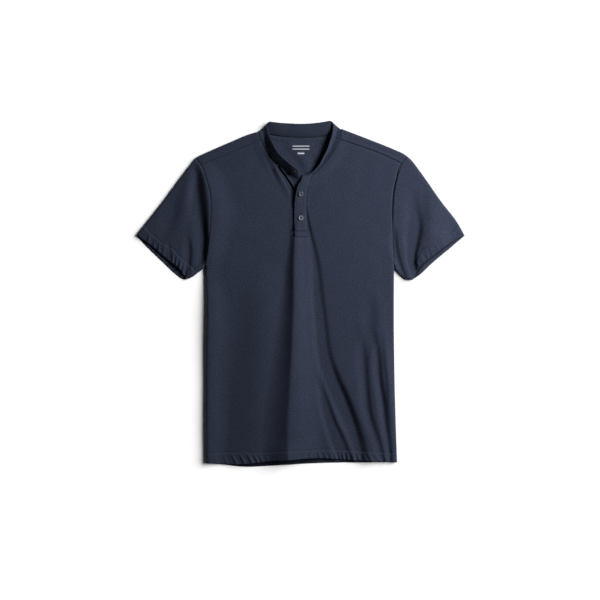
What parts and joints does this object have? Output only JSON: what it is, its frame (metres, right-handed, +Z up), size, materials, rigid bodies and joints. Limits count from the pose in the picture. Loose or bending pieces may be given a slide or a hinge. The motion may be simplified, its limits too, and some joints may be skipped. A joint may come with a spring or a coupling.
{
  "type": "henley shirt laid flat",
  "caption": "Short-sleeved henley shirt with a stand collar and a buttoned half placket, laid flat on its back with the collar band undone.",
  "frame": {"origin": "centre of the bounding box, on the surface that the shirt lies on", "axes": "+Z up out of that surface, +Y from the hem to the collar, +X towards the wearer's left sleeve"},
  "size_m": [0.7214, 0.7597, 0.0364],
  "materials": {
    "cloth": "fine heathered navy knit, matt with a faint sheen",
    "button": "four-hole button dyed to match, semi-matt"
  },
  "bodies": {
    "root": {"back": "cloth", "front": "cloth", "sleeve_left": "cloth", "sleeve_right": "cloth", "collar_band": "cloth", "placket_top": "cloth", "placket_under": "cloth", "button_upper": "button", "button_lower": "button", "button_collar": "button"}
  },
  "joints": []
}
